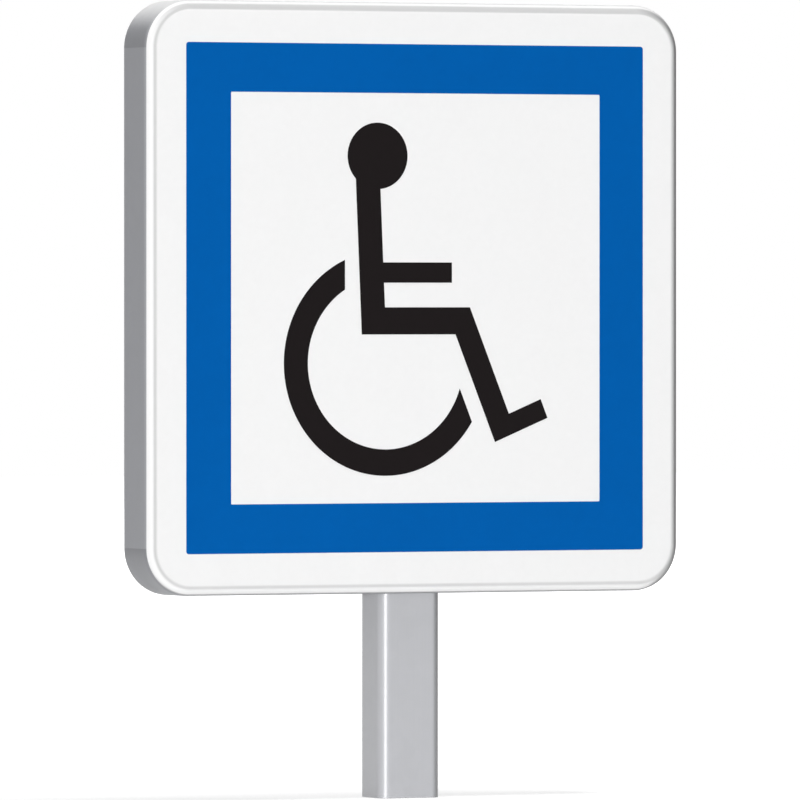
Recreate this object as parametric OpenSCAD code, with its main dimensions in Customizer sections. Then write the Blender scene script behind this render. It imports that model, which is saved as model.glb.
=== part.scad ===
// Disabled access sign: a square pressed panel with a blue border and a wheelchair symbol, clamped
// to the front of a short rectangular post that runs up inside the panel's open back.
// +Z is up, the face looks towards -Y, and the origin is the middle of the post's lower end.

/* [Panel] */
// Width and height of the square panel, over its bare sheet
panel_size = 500; // [440:5:620]
// Depth of the panel, from its face to its open back
panel_depth = 50; // [40:1:65]
// Outside radius of the panel's corners, seen from the front
corner_r = 40; // [28:1:60]
// Outside radius of the fold between the face and the side walls
fold_r = 9; // [5:0.5:10]
// Thickness of the panel's sheet
sheet_t = 2; // [1.5:0.1:3]
// Width of the lip that turns inwards at the open back
lip_w = 12; // [8:0.5:18]
// Inside radius of the bend between the side walls and the lip
lip_bend_r = 1; // [0.5:0.25:2]
// Room between the post and the edge of its notch in the lower wall
notch_gap = 1; // [0.5:0.25:3]

/* [Face films] */
// Thickness of the white sheeting that covers the face and wraps over the fold
sheeting_t = 0.4; // [0.2:0.05:0.8]
// How far round the fold the white sheeting goes, in degrees from the face
sheeting_wrap = 61; // [30:1:85]
// Thickness of the blue and black films on the sheeting
film_t = 0.2; // [0.1:0.05:0.4]
// White margin from the panel's edge to the blue border
border_inset = 35.3; // [25:0.1:50]
// Width of the blue border
border_w = 41.4; // [25:0.1:55]
// Radius of the blue border's outer corners
border_r = 2.5; // [1:0.5:8]
// Radius of the blue border's inner corners
border_inner_r = 1; // [0.5:0.5:8]

/* [Symbol] */
// White margin above and below the symbol, inside the blue border
symbol_margin = 24.1; // [14:0.1:45]
// Radius of the head
head_r = 28.2; // [25:0.2:32]
// Width of the torso
torso_w = 22.7; // [18:0.1:26]
// Lean of the torso, in degrees
torso_lean = 2.4; // [0:0.1:5]
// Height of the arm's bar
arm_t = 17.2; // [12:0.1:20]
// Height of the seat's bar
seat_t = 23; // [18:0.1:28]
// Width of the leg
leg_w = 21.3; // [17:0.1:26]
// Length of the leg, from the knee to the sole
leg_l = 115.4; // [100:0.1:125]
// Lean of the leg, in degrees
leg_lean = 22.2; // [18:0.1:26]
// Length of the foot, from heel to toe
foot_l = 54; // [40:0.5:65]
// Height of the foot
foot_t = 17.3; // [12:0.1:22]
// Outside radius of the wheel
wheel_r = 95.7; // [88:0.1:100]
// Width of the wheel's ring
wheel_w = 22.4; // [16:0.1:26]
// White gap between the leg and the end of the wheel's ring
wheel_gap = 13.75; // [8:0.25:18]

/* [Post] */
// Width of the post
post_w = 57; // [46:1:80]
// Depth of the post
post_d = 45; // [36:1:60]
// Outside radius of the post's corners
post_r = 9.5; // [6:0.5:14]
// Thickness of the post's wall
post_wall = 2.5; // [1.5:0.25:4]
// How far the post stands out below the panel
foot_drop = 173.5; // [60:0.5:1500]
// Room between the post's cap and the panel's upper lip
post_top_gap = 19; // [5:1:60]

/* [Post cap] */
// Thickness of the cap's plate
cap_t = 4; // [3:0.25:6]
// Chamfer round the top of the cap
cap_chamfer = 1.25; // [0.5:0.25:2]
// Length of the skirt that is pushed into the post
skirt_l = 22; // [16:1:40]
// Thickness of the skirt's wall
skirt_wall = 2; // [1.5:0.25:3]
// Room between the skirt and the post's inside, which the ribs fill
skirt_gap = 0.75; // [0.4:0.05:1.5]
// Number of gripping ribs round the skirt
rib_count = 3; // [2:1:4]
// Thickness of each gripping rib
rib_t = 1.2; // [0.8:0.1:2]

/* [Rails] */
// Width of the flange that is welded to the back of the panel
rail_w = 40; // [30:1:56]
// Wall thickness of the rail
rail_t = 1.5; // [1.5:0.1:2.5]
// Room between the rail's ends and the panel's lips
rail_end_gap = 3; // [1:0.5:20]
// Distance of each rail's middle from the panel's nearer edge
rail_inset = 100; // [65:5:150]
// Room on each side of the bolt's head inside the rail
head_side_gap = 0.5; // [0.2:0.1:1]
// Room behind the bolt's head inside the rail
head_back_gap = 0.5; // [0.3:0.1:2]
// Room on each side of the bolt in the rail's slot
slot_gap = 0.25; // [0.1:0.05:0.6]

/* [Clamps] */
// Width of the strap round the post
strap_w = 30; // [22:1:40]
// Thickness of the strap
strap_t = 3; // [2:0.25:4]
// Inside radius of the strap's bends at its ears
strap_bend_r = 3; // [2:0.25:5]
// Corner radius of the strap's ears
ear_r = 5; // [2:0.5:8]
// From the bolt's axis to the end of the ear
ear_end = 14; // [11:0.5:20]
// Room between the washer and the strap's bend
washer_gap = 4; // [2:0.5:10]
// Room round the bolt in the ear's hole
ear_hole_gap = 0.5; // [0.2:0.1:0.8]

/* [Fasteners] */
// Diameter of the bolts
bolt_d = 8; // [6:1:10]
// Width across flats of the bolts' heads and of the nuts
hex_af = 13; // [13:1:17]
// Height of the bolts' heads, which are of the low kind
head_h = 4; // [4:0.1:6.5]
// Height of the nuts
nut_h = 6.8; // [5:0.1:8.4]
// Diameter of the washers
washer_d = 16; // [15:1:20]
// Thickness of the washers
washer_t = 1.6; // [1:0.1:2.5]
// Room round the bolt in the washer's hole
washer_hole_gap = 0.2; // [0.1:0.05:0.5]
// Thread that stands out past the nut
thread_out = 2.6; // [1:0.1:8]
// Running room between the bolt's thread and the nut's
thread_gap = 0.05; // [0.02:0.01:0.1]

/* [Hidden] */
$fn = 96;

// Sides and levels, as signs
left = -1;
right = 1;
lower = -1;
upper = 1;

// Places in the symbol, from the middle of the face
head_at = [-36.9, 120.7];
hip_at = [-51.8, -30.9];
knee_at = [50.35, -7.85];
arm_at = [33.25, 13.1];
wheel_at = [-29.2, -55.2];
wheel_cut_x = -67.65;

// Heights
panel_z = foot_drop + panel_size / 2;
panel_top = foot_drop + panel_size;
rail_rise = panel_size / 2 - rail_inset;
post_l = panel_top - lip_w - post_top_gap - cap_t;

// Depths, from the front of the post forwards to the face
channel_h = head_h + head_back_gap;
rail_h = channel_h + 2 * rail_t;
rail_front_y = -post_d / 2 - rail_h;
face_y = rail_front_y - sheet_t;
clamp_y = -post_d / 2;

// Section sizes that follow from the sizes above
lip_r = lip_bend_r + sheet_t;
rail_l = panel_size - 2 * (max(lip_w, fold_r) + rail_end_gap);
channel_w = hex_af + 2 * head_side_gap;
slot_w = bolt_d + 2 * slot_gap;
strap_r = strap_bend_r + strap_t;
bolt_x = post_w / 2 + strap_r + washer_d / 2 + washer_gap;
bolt_l = rail_t + strap_t + washer_t + nut_h + thread_out;
bore_w = post_w - 2 * post_wall;
bore_d = post_d - 2 * post_wall;
bore_r = post_r - post_wall;

// The symbol fills the white field between its margins
field_size = panel_size - 2 * (border_inset + border_w);
symbol_h = head_at.y + head_r - (wheel_at.y - wheel_r);
symbol_fit = (field_size - 2 * symbol_margin) / symbol_h;

// Small amount by which a cut runs past what it cuts
over = 1;

grey_paint = [0.58, 0.585, 0.60];
white_film = [0.96, 0.96, 0.96];
blue_film = [0.0, 0.36, 0.66];
black_film = [0.14, 0.12, 0.13];
bare_alloy = [0.80, 0.81, 0.82];
post_metal = [0.75, 0.75, 0.77];
zinc = [0.70, 0.71, 0.73];
black_plastic = [0.10, 0.10, 0.11];

// Rectangle with round corners, about the origin
module rounded(w, h, r) {
    square([w - 2 * r, h], center = true);
    square([w, h - 2 * r], center = true);
    for (x = [-1, 1], y = [-1, 1])
        translate([x * (w / 2 - r), y * (h / 2 - r)])
            circle(r);
}

// Quarter of a ring about the origin, in the quadrant of +X and +Y
module quarter_ring(r_out, r_in) {
    intersection() {
        difference() {
            circle(r_out);
            circle(r_in);
        }
        square(r_out);
    }
}

// Panel's own frame: X to the right, Y up, Z out of the bare face, with the origin at its middle
module on_panel() {
    translate([0, face_y, panel_z])
        rotate([90, 0, 0])
            children();
}

// Carries a section right round the panel. The section's X runs outwards from the corner's centre
// and its Y out of the face.
module round_the_panel() {
    side_l = panel_size - 2 * corner_r;
    for (turn = [0 : 90 : 270])
        rotate(turn)
            translate([side_l / 2, side_l / 2, 0]) {
                rotate([90, 0, 0])
                    linear_extrude(side_l)
                        children();
                rotate_extrude(angle = 90)
                    children();
            }
}

// Square of the face that lies between the corners' centres
module middle_of_face(thickness) {
    side_l = panel_size - 2 * corner_r;
    translate([-side_l / 2, -side_l / 2, 0])
        cube([side_l, side_l, thickness]);
}

// Face, fold, side wall and lip of the pressed sheet
module tray_section() {
    translate([0, -sheet_t])
        square([corner_r - fold_r, sheet_t]);
    translate([corner_r - fold_r, -fold_r])
        quarter_ring(fold_r, fold_r - sheet_t);
    translate([corner_r - sheet_t, lip_r - panel_depth])
        square([sheet_t, panel_depth - fold_r - lip_r]);
    translate([corner_r - lip_r, lip_r - panel_depth])
        rotate(-90)
            quarter_ring(lip_r, lip_bend_r);
    translate([corner_r - lip_w, -panel_depth])
        square([lip_w - lip_r, sheet_t]);
}

// White sheeting over the face and round the fold, where it stops short of the side wall
module sheeting_section() {
    outer_r = fold_r + sheeting_t;
    square([corner_r - fold_r, sheeting_t]);
    translate([corner_r - fold_r, -fold_r])
        difference() {
            quarter_ring(outer_r, fold_r);
            rotate(-sheeting_wrap)
                square(2 * outer_r);
        }
}

// What is cut from the lower wall and its lip, so that the post passes and the sign hangs on from
// the front
module post_notch() {
    notch_w = post_w + 2 * notch_gap;
    notch_d = post_d + 2 * notch_gap;
    back_y = face_y + panel_depth;
    translate([0, 0, foot_drop - over])
        linear_extrude(lip_w + 2 * over) {
            rounded(notch_w, notch_d, post_r + notch_gap);
            translate([-notch_w / 2, 0])
                square([notch_w, max(back_y, notch_d / 2) + over]);
        }
}

module panel_tray() {
    color(grey_paint)
        difference() {
            on_panel() {
                round_the_panel()
                    tray_section();
                translate([0, 0, -sheet_t])
                    middle_of_face(sheet_t);
            }
            post_notch();
        }
}

module white_sheeting() {
    color(white_film)
        on_panel() {
            round_the_panel()
                sheeting_section();
            middle_of_face(sheeting_t);
        }
}

// A film cut to the outline of its children, on top of the white sheeting
module film() {
    on_panel()
        translate([0, 0, sheeting_t])
            linear_extrude(film_t)
                children();
}

module blue_border() {
    outside = panel_size - 2 * border_inset;
    color(blue_film)
        film()
            difference() {
                rounded(outside, outside, border_r);
                rounded(field_size, field_size, border_inner_r);
            }
}

module head_and_torso() {
    translate(head_at)
        circle(head_r);
    translate(hip_at)
        rotate(torso_lean)
            square([torso_w, head_at.y - hip_at.y - head_r / 2]);
}

module arm_and_seat() {
    arm_start = hip_at.x + torso_w / 2;
    translate([arm_start, arm_at.y])
        square([arm_at.x - arm_start, arm_t]);
    translate([hip_at.x, knee_at.y - seat_t])
        square([knee_at.x - hip_at.x, seat_t]);
}

// Leg's own frame: the origin is at the knee, +X forwards and -Y down the leg
module along_leg() {
    translate(knee_at)
        rotate(leg_lean)
            children();
}

module leg_and_foot() {
    along_leg()
        translate([-leg_w, -leg_l]) {
            square([leg_w, leg_l]);
            square([foot_l, foot_t]);
        }
}

module figure_symbol() {
    color(black_film)
        film()
            scale(symbol_fit) {
                head_and_torso();
                arm_and_seat();
                leg_and_foot();
            }
}

// The wheel stops short of the torso above and of the leg below
module wheel_symbol() {
    reach = 2 * wheel_r;
    color(black_film)
        film()
            scale(symbol_fit)
                difference() {
                    translate(wheel_at)
                        circle(wheel_r);
                    translate(wheel_at)
                        circle(wheel_r - wheel_w);
                    translate([wheel_cut_x, wheel_at.y])
                        square(reach);
                    along_leg()
                        translate([-leg_w - wheel_gap, -reach])
                            square(2 * reach);
                }
}

// Half of a rail's section, with X across the rail and Y from the panel to the post: the welded
// flange with its round edge, a web and a lip of the slot
module half_rail_section() {
    web_x = channel_w / 2;
    square([rail_w / 2 - rail_t / 2, rail_t]);
    translate([rail_w / 2 - rail_t / 2, rail_t / 2])
        circle(rail_t / 2);
    translate([web_x, 0])
        square([rail_t, rail_h]);
    translate([slot_w / 2, rail_h - rail_t])
        square([web_x + rail_t - slot_w / 2, rail_t]);
}

module rail(level) {
    color(bare_alloy)
        translate([0, rail_front_y, panel_z + level * rail_rise])
            rotate([0, -90, 0])
                linear_extrude(rail_l, center = true) {
                    half_rail_section();
                    mirror([1, 0])
                        half_rail_section();
                }
}

module post() {
    color(post_metal)
        linear_extrude(post_l)
            difference() {
                rounded(post_w, post_d, post_r);
                rounded(bore_w, bore_d, bore_r);
            }
}

// Slice of a chamfered edge: as wide as w below and chamfered on both sides
module chamfer_slice(w, c) {
    polygon([[-w / 2, 0], [w / 2, 0], [w / 2 - c, c], [-w / 2 + c, c]]);
}

// Plate with round corners, with flat chamfers along its sides and cones at its corners
module chamfered_plate(w, d, r, t, c) {
    linear_extrude(t - c)
        rounded(w, d, r);
    translate([0, 0, t - c]) {
        for (x = [-1, 1], y = [-1, 1])
            translate([x * (w / 2 - r), y * (d / 2 - r), 0])
                cylinder(h = c, r1 = r, r2 = r - c);
        rotate([90, 0, 0])
            linear_extrude(d - 2 * r, center = true)
                chamfer_slice(w, c);
        rotate([90, 0, 90])
            linear_extrude(w - 2 * r, center = true)
                chamfer_slice(d, c);
    }
}

// Skirt of the cap, hanging from its plate, with ribs that grip the post's inside
module cap_skirt() {
    outer_w = bore_w - 2 * skirt_gap;
    outer_d = bore_d - 2 * skirt_gap;
    outer_r = bore_r - skirt_gap;
    rib_pitch = skirt_l / (rib_count + 1);
    translate([0, 0, -skirt_l])
        difference() {
            union() {
                linear_extrude(skirt_l)
                    rounded(outer_w, outer_d, outer_r);
                for (i = [1 : rib_count])
                    translate([0, 0, i * rib_pitch - rib_t / 2])
                        linear_extrude(rib_t)
                            rounded(bore_w, bore_d, bore_r);
            }
            translate([0, 0, -over])
                linear_extrude(skirt_l + over)
                    rounded(outer_w - 2 * skirt_wall, outer_d - 2 * skirt_wall, outer_r - skirt_wall);
        }
}

module post_cap() {
    color(black_plastic)
        translate([0, 0, post_l]) {
            chamfered_plate(post_w, post_d, post_r, cap_t, cap_chamfer);
            cap_skirt();
        }
}

// One ear of the strap, on the +X side, with the bend that joins it to the strap's side
module strap_ear_section() {
    bend_x = post_w / 2 + strap_r;
    translate([bend_x, clamp_y + strap_r])
        rotate(180)
            quarter_ring(strap_r, strap_bend_r);
    translate([bend_x, clamp_y])
        square([bolt_x + ear_end - bend_x, strap_t]);
    translate([post_w / 2, clamp_y + strap_r])
        square([strap_t, -clamp_y - strap_r]);
}

// Strap seen from above: round the post's back and sides, with an ear on each side
module strap_section() {
    reach = post_w + post_d;
    intersection() {
        difference() {
            rounded(post_w + 2 * strap_t, post_d + 2 * strap_t, post_r + strap_t);
            rounded(post_w, post_d, post_r);
        }
        translate([-reach / 2, 0])
            square(reach);
    }
    strap_ear_section();
    mirror([1, 0])
        strap_ear_section();
}

module clamp(level) {
    reach = post_w + post_d;
    color(zinc)
        translate([0, 0, panel_z + level * rail_rise])
            difference() {
                intersection() {
                    linear_extrude(strap_w, center = true)
                        strap_section();
                    rotate([90, 0, 0])
                        linear_extrude(2 * reach, center = true)
                            rounded(2 * (bolt_x + ear_end), strap_w, ear_r);
                }
                for (side = [left, right])
                    translate([side * bolt_x, clamp_y - over, 0])
                        rotate([-90, 0, 0])
                            cylinder(h = strap_t + 2 * over, d = bolt_d + 2 * ear_hole_gap);
            }
}

// Puts its children on a bolt's axis, with their +Z pointing to the back, at a depth from the ear's
// front face
module on_bolt(side, level, depth) {
    translate([side * bolt_x, clamp_y + depth, panel_z + level * rail_rise])
        rotate([-90, 0, 0])
            children();
}

// Hexagon with its axis on +Z
module hexagon(af, h) {
    cylinder(h = h, d = af / cos(30), $fn = 6);
}

// Cone at 30 degrees to the end face, which turns the corners off a hexagon's upper end
module turned_end(af, h) {
    cylinder(h = h, d1 = af + 2 * h / tan(30), d2 = af);
}

module bolt(side, level) {
    tip = bolt_d / 10;
    color(zinc)
        on_bolt(side, level, -rail_t) {
            mirror([0, 0, 1])
                intersection() {
                    hexagon(hex_af, head_h);
                    turned_end(hex_af, head_h);
                }
            cylinder(h = bolt_l - tip, d = bolt_d);
            translate([0, 0, bolt_l - tip])
                cylinder(h = tip, d1 = bolt_d, d2 = bolt_d - 2 * tip);
        }
}

module washer(side, level) {
    color(zinc)
        on_bolt(side, level, strap_t)
            difference() {
                cylinder(h = washer_t, d = washer_d);
                translate([0, 0, -over])
                    cylinder(h = washer_t + 2 * over, d = bolt_d + 2 * washer_hole_gap);
            }
}

module nut(side, level) {
    color(zinc)
        on_bolt(side, level, strap_t + washer_t)
            difference() {
                intersection() {
                    hexagon(hex_af, nut_h);
                    turned_end(hex_af, nut_h);
                    translate([0, 0, nut_h])
                        mirror([0, 0, 1])
                            turned_end(hex_af, nut_h);
                }
                translate([0, 0, -over])
                    cylinder(h = nut_h + 2 * over, d = bolt_d + 2 * thread_gap);
            }
}

panel_tray();
white_sheeting();
blue_border();
figure_symbol();
wheel_symbol();
rail(upper);  // upper_rail
rail(lower);  // lower_rail
post();
post_cap();
clamp(upper);  // upper_clamp
clamp(lower);  // lower_clamp
bolt(left, upper);  // upper_left_bolt
bolt(right, upper);  // upper_right_bolt
bolt(left, lower);  // lower_left_bolt
bolt(right, lower);  // lower_right_bolt
washer(left, upper);  // upper_left_washer
washer(right, upper);  // upper_right_washer
washer(left, lower);  // lower_left_washer
washer(right, lower);  // lower_right_washer
nut(left, upper);  // upper_left_nut
nut(right, upper);  // upper_right_nut
nut(left, lower);  // lower_left_nut
nut(right, lower);  // lower_right_nut
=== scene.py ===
"""Looks of the disabled access sign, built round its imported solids.

The row frame is in metres: +Z up the post, the face towards -Y, the origin at the middle of the post's
lower end. Sizes in the classes below are in millimetres, as on a drawing, and MM turns them into metres.
"""

import logging
import math
from dataclasses import dataclass
from enum import Enum
from typing import Any, Callable, Optional, Sequence, Union

import bmesh
import bpy
from mathutils import Matrix, Vector


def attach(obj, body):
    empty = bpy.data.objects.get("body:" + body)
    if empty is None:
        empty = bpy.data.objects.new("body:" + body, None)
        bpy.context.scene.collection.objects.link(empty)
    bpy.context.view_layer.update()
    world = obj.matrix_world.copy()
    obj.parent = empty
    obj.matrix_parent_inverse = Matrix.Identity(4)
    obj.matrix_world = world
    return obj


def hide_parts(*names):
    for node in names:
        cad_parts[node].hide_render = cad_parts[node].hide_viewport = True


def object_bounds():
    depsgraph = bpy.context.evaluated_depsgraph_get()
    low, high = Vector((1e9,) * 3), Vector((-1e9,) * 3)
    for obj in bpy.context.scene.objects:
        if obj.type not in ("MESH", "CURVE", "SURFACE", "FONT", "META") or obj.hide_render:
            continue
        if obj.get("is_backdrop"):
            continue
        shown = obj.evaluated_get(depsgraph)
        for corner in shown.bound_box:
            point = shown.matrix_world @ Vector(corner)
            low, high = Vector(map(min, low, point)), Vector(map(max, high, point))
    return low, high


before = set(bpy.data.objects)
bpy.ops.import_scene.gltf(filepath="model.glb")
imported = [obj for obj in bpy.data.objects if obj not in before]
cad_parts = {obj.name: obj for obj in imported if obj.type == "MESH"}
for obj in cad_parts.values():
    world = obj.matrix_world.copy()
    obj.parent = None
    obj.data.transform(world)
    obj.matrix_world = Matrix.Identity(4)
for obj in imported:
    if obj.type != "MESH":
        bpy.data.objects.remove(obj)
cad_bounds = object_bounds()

MM = 0.001
BODY = "root"
# Point attribute with the painted shade and painted light of the sheeting's fold
FOLD_LIGHT_AND_SHADE = "grime"
LOG = logging.getLogger("sign")

# Sizes in mm that more than one sub-assembly needs
PANEL_MIDDLE = 423.5
LEVEL_RISE = 150.0
POST_WIDTH = 57.0
POST_DEPTH = 45.0
POST_CORNER = 9.5

# Nearly a full turn, in radians, for copies that may be turned by chance
ANY_TURN = 6.28

Point = tuple[float, float]
Colour = tuple[float, float, float]
Zone = tuple[float, ...]
Profile = Union[float, Callable[[float], float]]
Piece = bpy.types.Object
Node = bpy.types.Node
Socket = bpy.types.NodeSocket
Tree = bpy.types.NodeTree
Material = bpy.types.Material


class Level(Enum):
    """The two heights at which the panel is held, as signs of the rise from its middle."""

    UPPER = 1
    LOWER = -1

    def z(self) -> float:
        """Height of this level, in mm."""
        return PANEL_MIDDLE + self.value * LEVEL_RISE

    def named(self, ending: str) -> str:
        """Name of a piece at this level."""
        return f"{self.name.lower()}_{ending}"


class Slot(Enum):
    """Material slots of the record."""

    COATING = "grey_paint"
    SHEETING = "white_sheeting"
    BLUE_FILM = "blue_film"
    BLACK_FILM = "black_film"
    ALLOY = "bare_aluminium"
    TUBE = "post_metal"
    PLATING = "zinc_steel"
    PLASTIC = "black_plastic"


class Kind(Enum):
    """Kinds of sockets that the node groups have."""

    NUMBER = "NodeSocketFloat"
    WHOLE = "NodeSocketInt"
    SWITCH = "NodeSocketBool"
    VECTOR = "NodeSocketVector"
    OBJECT = "NodeSocketObject"
    MATERIAL = "NodeSocketMaterial"
    GEOMETRY = "NodeSocketGeometry"


KIND_OF_VALUE = {float: Kind.NUMBER, int: Kind.WHOLE, bool: Kind.SWITCH, tuple: Kind.VECTOR}


# Outlines and meshes


def spaced(start: float, end: float, steps: int) -> list[float]:
    """Gives evenly spaced values, with both ends among them."""
    return [start + (end - start) * k / steps for k in range(steps + 1)]


def ease(value: float, start: float, end: float) -> float:
    """Goes smoothly from 0 at the start to 1 at the end."""
    share = min(max((value - start) / (end - start), 0.0), 1.0)
    return share * share * (3 - 2 * share)


def swell(value: float, start: float, full: float, fade: float, end: float) -> float:
    """Rises from the start until it is full, and falls away from the fade to the end."""
    return ease(value, start, full) * (1 - ease(value, fade, end))


def bulge(value: float, middle: float, half: float) -> float:
    """Is 1 at the middle and goes smoothly to 0 at half the width on both sides."""
    off = min(abs(value - middle) / half, 1.0)
    return math.cos(off * math.pi / 2) ** 2


@dataclass(frozen=True)
class Corner:
    """Corner of an outline in mm, with the radius that rounds it and the number of steps of the rounding."""

    x: float
    y: float
    radius: float = 0.0
    steps: int = 5


@dataclass(frozen=True)
class Outline:
    """Line through corners.

    A point is held close before and after each rounding, so that flats shade flat. The hold is in mm, and
    the short hold is its limit as a share of the radius.
    """

    corners: tuple[Corner, ...]
    closed: bool = True
    hold: float = 0.3
    short_hold: float = 0.4

    def points(self) -> list[Point]:
        """Walks along the line and rounds its corners.

        Returns:
            The points of the line, in mm.
        """
        found: list[Point] = []
        last = len(self.corners) - 1
        for i, corner in enumerate(self.corners):
            if corner.radius == 0 or (not self.closed and i in (0, last)):
                found.append((corner.x, corner.y))
                continue
            before = self.corners[i - 1]
            after = self.corners[(i + 1) % len(self.corners)]
            found.extend(self.rounding(corner, before, after))
        return found

    def rounding(self, corner: Corner, before: Corner, after: Corner) -> list[Point]:
        """Rounds one corner.

        Args:
            corner: The corner to round.
            before: The corner that comes before it.
            after: The corner that comes after it.

        Returns:
            The points of the arc, with one more on each side.
        """
        at = Vector((corner.x, corner.y))
        back = (Vector((before.x, before.y)) - at).normalized()
        on = (Vector((after.x, after.y)) - at).normalized()
        half = back.angle(on) / 2
        reach = corner.radius / math.tan(half)
        centre = at + (back + on).normalized() * corner.radius / math.sin(half)
        hold = min(self.hold, corner.radius * self.short_hold)
        spoke = at + back * reach - centre
        turn = math.pi - 2 * half
        if back.x * on.y - back.y * on.x > 0:
            turn = -turn
        arc = [at + back * (reach + hold)]
        for angle in spaced(0.0, turn, corner.steps):
            swung = (spoke.x * math.cos(angle) - spoke.y * math.sin(angle),
                     spoke.x * math.sin(angle) + spoke.y * math.cos(angle))
            arc.append(centre + Vector(swung))
        arc.append(at + on * (reach + hold))
        return [(p.x, p.y) for p in arc]


def mirrored(corners: Sequence[Corner]) -> list[Corner]:
    """Gives the same corners on the other side of X = 0, in reverse order."""
    return [Corner(-corner.x, corner.y, corner.radius, corner.steps) for corner in reversed(corners)]


def middled(width: float) -> Point:
    """Gives the ends of a stretch of this width about 0."""
    return (-width / 2, width / 2)


def rectangle(x: Point, y: Point, radius: float = 0.0, steps: int = 3, hold: float = 0.3) -> Outline:
    """Draws a rectangle with round corners, anticlockwise. All sizes are in mm.

    Args:
        x: Its ends along X.
        y: Its ends along Y.
        radius: Radius of its corners.
        steps: Steps of each corner.
        hold: Distance of the extra points beside each corner.

    Returns:
        The outline.
    """
    places = ((x[1], y[0]), (x[1], y[1]), (x[0], y[1]), (x[0], y[0]))
    return Outline(tuple(Corner(*place, radius, steps) for place in places), hold=hold)


def new_object(name: str, data: bpy.types.ID) -> Piece:
    """Puts an object with this data into the scene."""
    made = bpy.data.objects.new(name, data)
    bpy.context.scene.collection.objects.link(made)
    return made


def mesh_from_rings(name: str, rings: Sequence[Sequence[Vector]], joined: bool = False) -> Piece:
    """Skins a row of closed rings that have the same number of points.

    Args:
        name: Name of the object.
        rings: The rings, in metres.
        joined: True where the last ring meets the first one, and False where flat ends close the shape.

    Returns:
        The closed piece.
    """
    count = len(rings[0])
    verts = [point for ring_points in rings for point in ring_points]
    faces: list[tuple[int, ...]] = []
    for r in range(len(rings) if joined else len(rings) - 1):
        low, high = r * count, (r + 1) % len(rings) * count
        for k in range(count):
            n = (k + 1) % count
            faces.append((low + k, low + n, high + n, high + k))
    if not joined:
        faces.append(tuple(reversed(range(count))))
        faces.append(tuple(range(len(verts) - count, len(verts))))
    mesh = bpy.data.meshes.new(name)
    mesh.from_pydata(verts, [], faces)
    made = new_object(name, mesh)
    close_and_shade(made)
    return made


def close_and_shade(piece: Piece, sharp: float = 28.0, merge: float = 1e-7) -> None:
    """Merges doubles, fills open ends, turns the faces outwards and shades them smooth between sharp edges.

    Args:
        piece: The piece to finish.
        sharp: Angle in degrees above which an edge stays sharp.
        merge: Distance in metres within which points are one.
    """
    work = bmesh.new()
    work.from_mesh(piece.data)
    bmesh.ops.remove_doubles(work, verts=work.verts, dist=merge)
    open_edges = [e for e in work.edges if e.is_boundary]
    if open_edges:
        bmesh.ops.holes_fill(work, edges=open_edges, sides=0)
    bmesh.ops.recalc_face_normals(work, faces=work.faces)
    work.to_mesh(piece.data)
    work.free()
    piece.data.shade_smooth()
    piece.data.set_sharp_from_angle(angle=math.radians(sharp))


def settle(piece: Piece) -> None:
    """Turns what a piece's modifiers make into its plain mesh and takes the modifiers off."""
    made = bpy.data.meshes.new_from_object(piece.evaluated_get(bpy.context.evaluated_depsgraph_get()))
    piece.modifiers.clear()
    old = piece.data
    piece.data = made
    bpy.data.meshes.remove(old)
    made.name = piece.name


def prism(name: str, points: Sequence[Point], low: float, high: float) -> Piece:
    """Raises an outline in the XY plane from one height to another, all in mm."""
    return mesh_from_rings(name, [[Vector((x, y, z)) * MM for x, y in points] for z in (low, high)])


def ring(radius: Profile, height: Profile, steps: int) -> list[Vector]:
    """Goes once round Z.

    Args:
        radius: Distance from the axis in mm, as a number or by the angle.
        height: Height in mm, as a number or by the angle.
        steps: Number of points.

    Returns:
        The points, in metres.
    """
    points = []
    for angle in spaced(0.0, 2 * math.pi, steps)[:-1]:
        r, z = (value(angle) if callable(value) else value for value in (radius, height))
        points.append(Vector((r * math.cos(angle), r * math.sin(angle), z)) * MM)
    return points


def lathe(name: str, section: Sequence[Point], steps: int, joined: bool = False) -> Piece:
    """Turns a section, given as radius and height in mm, about Z. It is joined where it is a closed loop."""
    return mesh_from_rings(name, [ring(radius, height, steps) for radius, height in section], joined)


def cut_away(piece: Piece, cutters: Sequence[Piece]) -> None:
    """Takes the cutters' shapes out of a piece and the cutters out of the scene."""
    for cutter in cutters:
        cut = piece.modifiers.new("cut", "BOOLEAN")
        cut.operation = "DIFFERENCE"
        cut.solver = "EXACT"
        cut.object = cutter
    settle(piece)
    for cutter in cutters:
        bpy.data.objects.remove(cutter)
    close_and_shade(piece)


def line_object(name: str, line: Outline, flip: int = 1) -> Piece:
    """Makes a curve object out of a line in the XY plane. A flip of -1 turns it upside down."""
    points = line.points()
    data = bpy.data.curves.new(name, "CURVE")
    data.dimensions = "3D"
    spline = data.splines.new("POLY")
    spline.points.add(len(points) - 1)
    for target, (x, y) in zip(spline.points, points):
        target.co = (x * MM, y * flip * MM, 0.0, 1.0)
    spline.use_cyclic_u = line.closed
    return new_object(name, data)


# Node trees


def rgba(colour: Colour, factor: float = 1.0) -> tuple[float, float, float, float]:
    """Gives a colour, made lighter or darker by a factor, its alpha."""
    return (colour[0] * factor, colour[1] * factor, colour[2] * factor, 1.0)


WHITE = rgba((1.0, 1.0, 1.0))


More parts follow.
